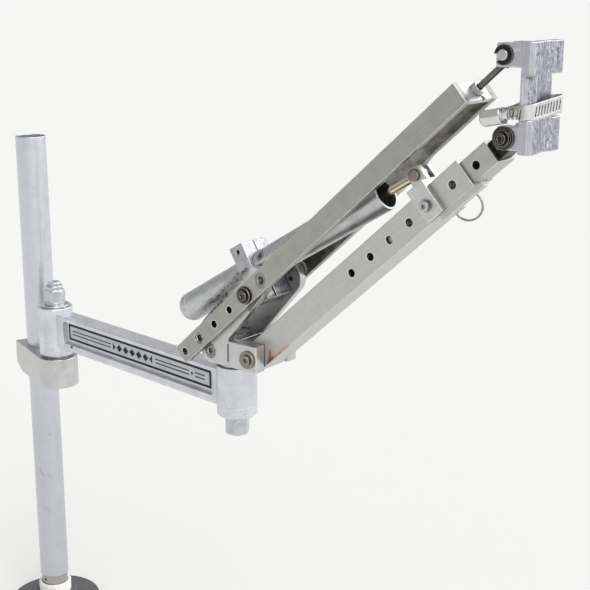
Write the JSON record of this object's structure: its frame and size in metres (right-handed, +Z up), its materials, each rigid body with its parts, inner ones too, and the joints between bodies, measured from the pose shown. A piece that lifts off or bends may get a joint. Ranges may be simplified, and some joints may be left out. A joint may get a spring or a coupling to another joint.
{
  "type": "articulated tool support arm",
  "caption": "Post-mounted articulated tool support arm: swinging link, gas-strut balanced parallelogram lift and an upright head with a worm-drive strap for the tool.",
  "frame": {"origin": "on the post axis at the underside of the base flange", "axes": "+Z up along the post; the lift arms lie parallel to the XZ plane and reach towards +X"},
  "size_m": [0.8174, 0.1647, 0.8027],
  "materials": {
    "post_alu": "satin anodised tube",
    "machined_alu": "milled, lightly scratched",
    "bar_alu": "mill finish, brushed lengthwise",
    "head_alu": "scratched and scuffed",
    "cast_paint": "silver hammered paint on a casting",
    "zinc": "bright zinc plate",
    "black_steel": "black oxide",
    "steel": "plain steel, slightly rusty",
    "bronze": "oiled bronze",
    "rod_gold": "polished rod with a gold tint",
    "stainless": "bright stainless strip",
    "label": "printed foil label with black lines",
    "nylon": "white nylon",
    "flange_paint": "dark grey powder coat"
  },
  "bodies": {
    "post": {"base_flange": "flange_paint", "post_collar": "nylon", "post_spigot": "steel", "post_screws": "steel", "post_tube": "post_alu"},
    "clamp": {"clamp_block": "machined_alu", "clamp_cap": "machined_alu", "clamp_screws": "black_steel", "link_bolt": "zinc", "link_nut": "zinc", "link_washers": "zinc"},
    "link": {"link_casting": "cast_paint", "label_plate": "label", "boss_bushes": "bronze"},
    "bracket": {"base_block": "machined_alu", "near_cheek": "machined_alu", "far_cheek": "machined_alu", "cheek_screws": "black_steel", "swivel_shaft": "zinc", "swivel_washers": "zinc", "swivel_nut": "zinc", "pivot_bolts": "steel", "pivot_washers": "steel"},
    "lower_arm": {"lower_tube": "bar_alu", "lower_bushes": "bronze", "near_clevis": "machined_alu", "far_clevis": "machined_alu", "lower_arm_screws": "zinc", "strut_pin": "steel", "strut_clevis": "machined_alu", "guide_lip": "bar_alu", "latch_barrel": "zinc", "latch_spring": "steel"},
    "extension": {"extension_bar": "bar_alu", "tongue": "black_steel"},
    "latch": {"latch_pin": "steel"},
    "ring": {"pull_ring": "stainless"},
    "upper_arm": {"near_bar": "bar_alu", "far_bar": "bar_alu", "end_plate": "machined_alu", "bar_bushes": "machined_alu", "lock_nut": "zinc"},
    "adjuster": {"adjuster_rod": "black_steel", "adjuster_eye": "black_steel"},
    "strut_cylinder": {"strut_tube": "post_alu", "strut_cap": "post_alu", "gas_cylinder": "black_steel", "trunnion_collar": "machined_alu", "pinch_screw": "black_steel"},
    "strut_rod": {"piston_rod": "rod_gold", "rod_eye": "zinc"},
    "head": {"head_body": "head_alu", "head_pin": "steel", "head_clips": "black_steel", "head_bolt": "steel", "head_washers": "steel", "hose_band": "stainless", "worm_housing": "stainless"},
    "worm": {"worm_screw": "stainless"}
  },
  "joints": [
    {"name": "clamp_height", "type": "slide", "parent": "post", "child": "clamp", "axis": [0, 0, 1], "range_m": [-0.22, 0.24]},
    {"name": "link_swing", "type": "hinge", "parent": "clamp", "child": "link", "pos_m": [0.05602, -0.0215, 0.42], "axis": [0, 0, 1], "range_deg": [-120, 105]},
    {"name": "bracket_swivel", "type": "hinge", "parent": "link", "child": "bracket", "pos_m": [0.39582, -0.06022, 0.42], "axis": [0, 0, 1], "range_deg": [-110, 110]},
    {"name": "lift", "type": "hinge", "parent": "bracket", "child": "lower_arm", "pos_m": [0.43942, -0.06022, 0.4711], "axis": [0, -1, 0], "range_deg": [-32, 0]},
    {"name": "upper_lift", "type": "hinge", "parent": "bracket", "child": "upper_arm", "pos_m": [0.43942, -0.06022, 0.54095], "axis": [0, -1, 0], "range_deg": [-32, 0]},
    {"name": "strut_swing", "type": "hinge", "parent": "bracket", "child": "strut_cylinder", "pos_m": [0.43942, -0.06022, 0.54095], "axis": [0, -1, 0], "range_deg": [-34.66, 0.1]},
    {"name": "rod_swing", "type": "hinge", "parent": "lower_arm", "child": "strut_rod", "pos_m": [0.62334, -0.06022, 0.67888], "axis": [0, -1, 0], "range_deg": [-2.66, 0.1]},
    {"name": "extension_slide", "type": "slide", "parent": "lower_arm", "child": "extension", "axis": [0.7455, 0, 0.6665], "range_m": [-0.008, 0.028]},
    {"name": "head_level", "type": "hinge", "parent": "extension", "child": "head", "pos_m": [0.71971, -0.06022, 0.72172], "axis": [0, -1, 0], "range_deg": [0, 32]},
    {"name": "adjuster_slide", "type": "slide", "parent": "upper_arm", "child": "adjuster", "axis": [0.7455, 0, 0.6665], "range_m": [-0.008, 0.028]},
    {"name": "latch_pull", "type": "slide", "parent": "lower_arm", "child": "latch", "axis": [0, 1, 0], "range_m": [0, 0.003], "stiffness_N_per_m": 800, "springref_m": -0.006, "deforming": ["latch_spring"]},
    {"name": "ring_swing", "type": "hinge", "parent": "latch", "child": "ring", "pos_m": [0.65609, -0.02742, 0.6616], "axis": [-0.2588, 0.9659, 0], "range_deg": [-8, 8]},
    {"name": "worm_turn", "type": "hinge", "parent": "head", "child": "worm", "pos_m": [0.71571, -0.09772, 0.74022], "axis": [0.9781, 0, 0.2079], "continuous": true}
  ],
  "couplings": [
    {"joint": "upper_lift", "follows": "lift", "ratio": 1},
    {"joint": "strut_swing", "follows": "lift", "ratio": 1.08},
    {"joint": "rod_swing", "follows": "lift", "ratio": 0.08},
    {"joint": "head_level", "follows": "lift", "ratio": -1},
    {"joint": "adjuster_slide", "follows": "extension_slide", "ratio": 1}
  ]
}
